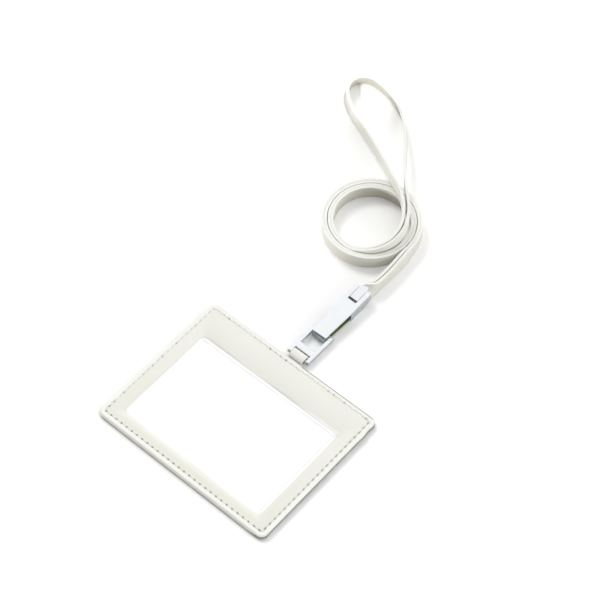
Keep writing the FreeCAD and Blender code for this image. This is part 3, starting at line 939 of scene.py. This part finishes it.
def fade(tree, value, start, end, kind="LINEAR"):
    """Goes from 0 where the value is at the start to 1 where it is at the end, which may be the lower one."""
    limits = {"Value": value, "From Min": start, "From Max": end}
    return tree.node("ShaderNodeMapRange", {"interpolation_type": kind}, limits)


def facing(tree, normal, way):
    """How squarely a direction looks along another one: the cosine between them."""
    return tree.node("ShaderNodeVectorMath", {"operation": "DOT_PRODUCT"}, {0: normal, 1: way}, "Value")


def bump(tree, height, strength, distance):
    """A normal tipped by the slopes of the height."""
    inputs = {"Height": height, "Strength": strength, "Distance": distance}
    return tree.node("ShaderNodeBump", None, inputs, "Normal")


# %% [markdown]
# ## Leather
# The wallet's leather is ivory with a fine pebbled grain, a shade whiter on the pressed border outside the
# stitches. The needle holes are darkened with painted shade, and the leather's edges are grey with edge dye
# and painted shade. The grain is cells of about half a millimetre with pores between them, so it is cell
# noise on the object's own coordinates. The seam on the back is pulled in flat, so its dashes are drawn in
# the finish. The straps are the same leather, split thin: smooth faces with faint cross creases, and cut
# edges that were painted whiter.

# %% The grain of the leather
grain_scale, pore_scale = 1700, 5200
grain_smooth = 0.5
grain_depth = 0.0002
leather_shine = 0.35


def leather_grain(tree, place):
    """The distance to the middle of the nearest cell, and the finer pores."""
    inputs = {"Vector": place, "Scale": grain_scale, "Smoothness": grain_smooth}
    cells = tree.node("ShaderNodeTexVoronoi", {"feature": "SMOOTH_F1"}, inputs, "Distance")
    return cells, noise(tree, place, pore_scale)


# %% The seam on the back
seam_half, seam_full = 0.00032, 0.0002
dash_low, dash_high = -0.35, 0.15


def back_seam(tree, place):
    """1 on the dashes of a seam set in from the outline on three sides; the pocket's mouth has none."""
    x, y = (part_of(tree, place, axis) for axis in "XY")
    half_x, half_y = (panel_half - stitch_inset).tolist()
    past_left = -1 * x - half_x
    past_ends = tree.math("ABSOLUTE", y) - half_y
    off_line = tree.math("ABSOLUTE", tree.math("MAXIMUM", past_left, past_ends))
    on_left = tree.math("GREATER_THAN", past_left, past_ends)
    along = x + on_left * (y - x)
    wave = tree.math("SINE", along * (2 * math.pi / stitch_pitch))
    on_line = fade(tree, off_line, seam_half, seam_full)
    on_dash = fade(tree, wave, dash_low, dash_high)
    return on_line * on_dash * tree.math("LESS_THAN", x, half_x)


# %% The wallet's leather
ivory = (0.853, 0.853, 0.79, 1)
ivory_deep = (0.80, 0.795, 0.725, 1)
ivory_low = (0.79, 0.79, 0.72, 1)
ivory_border = (0.90, 0.90, 0.855, 1)
# Painted shade in the needle holes
needle_hole_shade = (0.15, 0.145, 0.115, 1)
# Grey of the edge dye together with painted shade
rim_dye_and_shade = (0.30, 0.295, 0.265, 1)
thread_shade = (0.5, 0.49, 0.43, 1)
low_start, low_end = 0.01, -0.036
cloud_scale, cloud_from = 45, 0.35
panel_cloud, panel_cell, pore_height = 0.9, 0.12, 0.4
panel_rough, panel_pore_rough, panel_bump = 0.44, 0.16, 0.22


def panel_leather(name, seam):
    """Cloudy ivory with cell grain; the front's seam is painted on its points, the back's is drawn."""
    material, tree = new_finish(name)
    place = object_place(tree)
    clouds = noise(tree, place, cloud_scale)
    cells, pores = leather_grain(tree, place)
    height = cells + pores * pore_height
    colour = colour_mix(tree, (clouds - cloud_from) * panel_cloud + cells * panel_cell, ivory, ivory_deep)
    if seam == "painted":
        low_share = fade(tree, part_of(tree, place, "Y"), low_start, low_end)
        colour = colour_mix(tree, low_share, colour, ivory_low)
        colour = colour_mix(tree, painted(tree, "border"), colour, ivory_border)
        # Painted shade in the needle holes
        colour = colour_mix(tree, painted(tree, "hole"), colour, needle_hole_shade)
    # Edge dye and painted shade along the rims
    colour = colour_mix(tree, painted(tree, "rim"), colour, rim_dye_and_shade)
    if seam == "drawn":
        dashes = back_seam(tree, place)
        colour = colour_mix(tree, dashes, colour, thread_shade)
        height = height - dashes
    close_finish(tree, {
        "Base Color": colour,
        "Roughness": panel_rough + pores * panel_pore_rough,
        "Specular IOR Level": leather_shine,
        "Normal": bump(tree, height, panel_bump, grain_depth),
    })
    return material


front_leather.data.materials.append(panel_leather("sewn_leather", "painted"))
back_leather.data.materials.append(panel_leather("back_leather", "drawn"))
folded_tab.data.materials.append(panel_leather("plain_leather", None))
print("leather on the wallet's three pieces")

# %% The strap's leather
strap_ivory = (0.865, 0.86, 0.805, 1)
strap_shade = (0.815, 0.805, 0.74, 1)
strap_edge = (0.885, 0.885, 0.84, 1)
crease_scale, crease_stretch = 900, 0.22
strap_cloud, strap_crease = 0.8, 0.2
cell_height, crease_height = 0.7, 0.6
strap_rough, edge_rough, strap_pore_rough, strap_bump = 0.42, 0.2, 0.12, 0.2


def strap_leather():
    """Ivory faces with fine grain and faint creases across the strap, and whiter, rougher cut edges."""
    material, tree = new_finish("strap_leather")
    place = object_place(tree)
    across = painted(tree, "across") * crease_stretch
    strip = tree.node("ShaderNodeCombineXYZ", None, {"X": painted(tree, "along"), "Y": across})
    creases = noise(tree, strip, crease_scale)
    cells, pores = leather_grain(tree, place)
    clouds = noise(tree, place, cloud_scale, detail=2.0)
    edge = painted(tree, "cut_edge")
    shade = (clouds - cloud_from) * strap_cloud + creases * strap_crease
    height = cells * cell_height + creases * crease_height + pores * pore_height
    close_finish(tree, {
        "Base Color": colour_mix(tree, edge, colour_mix(tree, shade, strap_ivory, strap_shade), strap_edge),
        "Roughness": strap_rough + edge * edge_rough + pores * strap_pore_rough,
        "Specular IOR Level": leather_shine,
        "Normal": bump(tree, height, strap_bump, grain_depth),
    })
    return material


strap_finish = strap_leather()
left_strap.data.materials.append(strap_finish)
right_strap.data.materials.append(strap_finish)
print("leather on both strands")

# %% [markdown]
# ## Thread, card, film and board
# The thread is a dull beige, a little darker than the leather. The blank card is matt white paper. The film
# over it is clear: it shows only by its gloss, so it is almost all see-through with a smooth reflection,
# and a narrow margin of it is painted white, painted light that covers the shade at the window's edge.
# Alpha would cast a grey shadow on the card, which a clear film doesn't, so it casts none. The spacer board
# inside shows as a thin line at the wallet's edge.

# %% Thread, card and board
thread_beige = (0.72, 0.71, 0.63, 1)
thread_light = (0.84, 0.83, 0.76, 1)
card_white = (0.97, 0.97, 0.97, 1)
card_grey = (0.945, 0.945, 0.94, 1)
board_light = (0.80, 0.79, 0.74, 1)
board_dark = (0.70, 0.68, 0.61, 1)
twist_scale, fibre_scale = 4000, 2600
fibre_rough, fibre_depth, fibre_shine = 0.1, 0.0001, 0.3


def mottled(name, first, second, scale, roughness, relief):
    """Two near colours in fine noise, which also roughens the surface."""
    material, tree = new_finish(name)
    fibres = noise(tree, object_place(tree), scale, detail=4.0)
    close_finish(tree, {
        "Base Color": colour_mix(tree, fibres, first, second),
        "Roughness": roughness + fibres * fibre_rough,
        "Specular IOR Level": fibre_shine,
        "Normal": bump(tree, fibres, relief, fibre_depth),
    })
    return material


def dress(node, material):
    """Gives a CAD part a finish in place of the plain one that it came with."""
    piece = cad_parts[node]
    piece.data.materials.clear()
    piece.data.materials.append(material)


thread_finish = mottled("thread", thread_beige, thread_light, twist_scale, roughness=0.6, relief=0.3)
front_thread.data.materials.append(thread_finish)
seam_thread.data.materials.append(thread_finish)
card_finish = mottled("card_stock", card_white, card_grey, fibre_scale, roughness=0.6, relief=0.05)
dress("insert_card", card_finish)
board_finish = mottled("filler_board", board_light, board_dark, fibre_scale, roughness=0.75, relief=0.2)
dress("edge_filler", board_finish)
print("thread on", stitch_count, "stitches and the seam")

# %% The film
film_tint = (0.975, 0.98, 0.985, 1)
# The margin is painted light: white over the shade at the window's edge
film_light_margin, clear_from = 0.0015, 0.0016
rub_scale = 120
film_rough, rub_rough = 0.06, 0.1
film_alpha, rub_alpha, light_margin_alpha = 0.08, 0.04, 0.86
film_ior = 1.5


def clear_film():
    """Clear plastic: nearly transparent, glossy, with the faintest rubbed haze and a white margin of painted
    light.
    """
    material, tree = new_finish("clear_film")
    place = object_place(tree)
    rub = noise(tree, place, rub_scale, detail=4.0)
    x, y = (part_of(tree, place, axis) for axis in "XY")
    half_x, half_y = window_half.tolist()
    from_sides = half_x - tree.math("ABSOLUTE", x)
    from_ends = half_y - tree.math("ABSOLUTE", y - window_y)
    margin = fade(tree, tree.math("MINIMUM", from_sides, from_ends), clear_from, film_light_margin, "SMOOTHSTEP")
    close_finish(tree, {
        "Base Color": film_tint,
        "Roughness": film_rough + rub * rub_rough,
        "Alpha": film_alpha + rub * rub_alpha + margin * light_margin_alpha,
        "IOR": film_ior,
    })
    return material


dress("window_film", clear_film())
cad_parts["window_film"].visible_shadow = False
print("the film's margin is", in_mm(film_light_margin), "mm wide")

# %% [markdown]
# ## Plated metal
# The link, hook, gate and lever are pressed or cast and then plated: bright, nearly white, with a satin
# unevenness and tiny rub marks. A perfect mirror would look like computer chrome, so noise varies the
# roughness and tips the normals very slightly. The hook's faces that look forwards, the nose most, carry a
# painted dark reflection, and the gate's leaf carries painted shade on its upper face, whose edges stay
# pale. The spring is plain drawn wire. A small bevel softens every cut edge.

# %% The metals
plate_bright = (0.93, 0.95, 0.97, 1)
plate_cool = (0.87, 0.90, 0.925, 1)
# Painted dark reflection on the hook's forward faces
nose_painted_reflection = (0.52, 0.61, 0.60, 1)
lever_bright = (0.93, 0.925, 0.94, 1)
lever_cool = (0.85, 0.855, 0.91, 1)
# Painted shade on the upper face of the gate's leaf
gate_painted_shade = (0.17, 0.23, 0.10, 1)
gate_pale = (0.90, 0.91, 0.76, 1)
wire_grey = (0.50, 0.51, 0.52, 1)
wire_dark = (0.34, 0.35, 0.36, 1)
front_way, up_way = (0, -1, 0), (0, 0, 1)
painted_dark_from, painted_dark_full = 0.55, 0.95
satin_scale, grit_scale = 220, 6000
satin_rough, grit_rough = 0.1, 0.06
satin_height, metal_bump, metal_depth = 0.5, 0.05, 0.0001


def bright_metal(name, first, second, roughness, painted_dark_way=None, painted_dark=None, metallic=1.0):
    """Metal with cloudy tone, varied gloss and tiny ripples; faces along painted_dark_way take the painted
    dark colour: reflection on the hook, shade on the gate.
    """
    material, tree = new_finish(name)
    place = object_place(tree)
    clouds = noise(tree, place, satin_scale)
    grit = noise(tree, place, grit_scale)
    colour = colour_mix(tree, clouds ** 2, first, second)
    if painted_dark_way:
        normal = tree.node("ShaderNodeNewGeometry", None, None, "Normal")
        # Painted dark colour by the face's direction: a reflection on the hook, shade on the gate
        painted_dark_share = fade(tree, facing(tree, normal, painted_dark_way), painted_dark_from, painted_dark_full, "SMOOTHSTEP")
        colour = colour_mix(tree, painted_dark_share, colour, painted_dark)
    close_finish(tree, {
        "Base Color": colour,
        "Metallic": metallic,
        "Roughness": roughness + clouds * satin_rough + grit * grit_rough,
        "Normal": bump(tree, clouds * satin_height + grit, metal_bump, metal_depth),
    })
    return material


plating = bright_metal("plated_metal", plate_bright, plate_cool, roughness=0.2)
for node in ("link_frame", "gate_pin", "lever_pin"):
    dress(node, plating)
dress("hook_body", bright_metal("hook_metal", plate_bright, plate_cool, 0.2, front_way, nose_painted_reflection))
dress("clamp_lever", bright_metal("lever_metal", lever_bright, lever_cool, roughness=0.22))
dress("gate", bright_metal("gate_metal", gate_pale, gate_pale, 0.3, up_way, gate_painted_shade, metallic=0.3))
dress("gate_spring", bright_metal("spring_steel", wire_grey, wire_dark, roughness=0.3))
print("finishes on the CAD parts that stay in sight")

# %% Softened edges
weld_reach = 0.000002
edge_bevel, edge_segments = 0.00012, 2
edge_angle = math.radians(35)

for node in ("link_frame", "hook_body", "gate", "clamp_lever"):
    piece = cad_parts[node]
    weld = piece.modifiers.new("weld", "WELD")
    weld.merge_threshold = weld_reach
    bevel = piece.modifiers.new("bevel", "BEVEL")
    bevel.width = edge_bevel
    bevel.segments = edge_segments
    bevel.limit_method = "ANGLE"
    bevel.angle_limit = edge_angle
    bevel.harden_normals = False
print("bevels of", in_mm(edge_bevel), "mm on the metal")

# %% [markdown]
# ## Light and floor
# The picture has soft light from above and both sides, dark towards the wallet's foot, and short pale
# shadows on a white table. A ring of lamps would light every face alike and flatten the strap's coil. So a
# wide sky does most of it, with one dark side, and two suns give the shadows a direction and lift the faces
# on the right. The far loop, the coil's left side and the wallet's front edge are paler in the picture than
# this light makes them, so each has a small lamp of its own.

# %% Suns and small lamps
loop_aim = (-0.083, 0.206, 0.005)
aim_left, aim_ahead = 0.016, 0.019
coil_aim = (coil_x - aim_left, coil_y + aim_ahead, half_strap)
edge_aim = (0, -panel_half[1], 0)
lamp_size = 0.008
loop_cone = {"spot_size": math.radians(9), "spot_blend": 0.5, "shadow_soft_size": lamp_size}
coil_cone = {"spot_size": math.radians(21), "spot_blend": 0.4, "shadow_soft_size": lamp_size}
edge_strip = {"shape": "RECTANGLE", "size": 0.16, "size_y": 0.012, "spread": math.radians(9)}


def lamp(name, kind, form, azimuth, elevation, power, aim=(0, 0, 0), distance=0.0):
    """A lamp in this direction from its aim, in degrees, that neither the eye nor mirrors show.

    A sun has the same light everywhere, so it needs no aim or distance, and its power is its strength.
    """
    data = bpy.data.lights.new(name, kind)
    data.energy = power
    for key, value in form.items():
        setattr(data, key, value)
    way = towards(azimuth, elevation)
    holder = bpy.data.objects.new(name, data)
    holder.visible_camera = False
    holder.visible_glossy = False
    holder.location = Vector(aim) + way * distance
    holder.rotation_euler = way.to_track_quat("Z", "Y").to_euler()
    bpy.context.collection.objects.link(holder)
    print(name, "has power", power)


lamp("left_sun", "SUN", {"angle": math.radians(20)}, azimuth=256, elevation=49, power=1.03)
lamp("right_sun", "SUN", {"angle": math.radians(45)}, azimuth=97, elevation=12, power=1.1)
lamp("loop_lamp", "SPOT", loop_cone, azimuth=-2, elevation=36, power=1.3, aim=loop_aim, distance=0.22)
lamp("coil_lamp", "SPOT", coil_cone, azimuth=-26, elevation=4, power=1.55, aim=coil_aim, distance=0.3)
lamp("front_strip", "AREA", edge_strip, azimuth=-6, elevation=8, power=0.0028, aim=edge_aim, distance=0.2)

# %% The sky
sky_bright, sky_dim = 1.0, 0.05
sky_white = (1.0, 1.0, 1.0, 1)
dark_low, dark_high = 0.15, 0.85
dark_way = towards(azimuth=2, elevation=15)


def soft_sky():
    """A bright sky that falls smoothly to its dim strength towards its dark side."""
    world = bpy.data.worlds.new("sky")
    world.use_nodes = True
    world.node_tree.nodes.clear()
    bpy.context.scene.world = world
    tree = Socket(world.node_tree)
    way = tree.node("ShaderNodeTexCoord", None, None, "Generated")
    share = fade(tree, facing(tree, way, dark_way), dark_low, dark_high, "SMOOTHSTEP")
    level = sky_bright + share * (sky_dim - sky_bright)
    light = tree.node("ShaderNodeBackground", None, {"Color": sky_white, "Strength": level})
    tree.node("ShaderNodeOutputWorld", None, {"Surface": light})


soft_sky()
print("sky from", sky_dim, "to", sky_bright)

# %% The floor
floor_half, floor_steps = 3.0, 5
floor_drop = 0.00002
floor_seen = (1.0, 1.0, 1.0, 1)
floor_felt = (0.46, 0.43, 0.35, 1)
floor_mirrored = (0.68, 0.70, 0.71, 1)
floor_glow = (0.05, 0.05, 0.05, 1)
no_glow = (0.0, 0.0, 0.0, 1)
floor_rough = 0.9


def table_white():
    """White to the eye, greyer in mirrors, and a warm grey for the light that it throws back."""
    material, tree = new_finish("table_white")
    flags = ("Is Camera Ray", "Is Transmission Ray", "Is Glossy Ray")
    straight, through, mirrored = (tree.node("ShaderNodeLightPath", None, None, flag) for flag in flags)
    seen = straight + through
    thrown_back = colour_mix(tree, mirrored, floor_felt, floor_mirrored)
    close_finish(tree, {
        "Base Color": colour_mix(tree, seen, thrown_back, floor_seen),
        "Roughness": floor_rough,
        "Specular IOR Level": 0.0,
        "Emission Color": colour_mix(tree, seen, no_glow, floor_glow),
        "Emission Strength": 1.0,
    })
    return material


floor_lines = np.linspace(-floor_half, floor_half, floor_steps)
floor_grid = np.stack(np.meshgrid(floor_lines, floor_lines, [-floor_drop], indexing="ij"), axis=-1)
floor_quads = cell_quads(floor_steps, floor_steps, False, False)
floor = piece_from("floor", floor_grid.reshape(-1, 3), floor_quads.tolist())
floor.data.materials.append(table_white())

# %% [markdown]
# ## Closing the scene
# The Standard view transform shows a colour as it is written.

# %% The view transform
bpy.context.scene.view_settings.view_transform = "Standard"
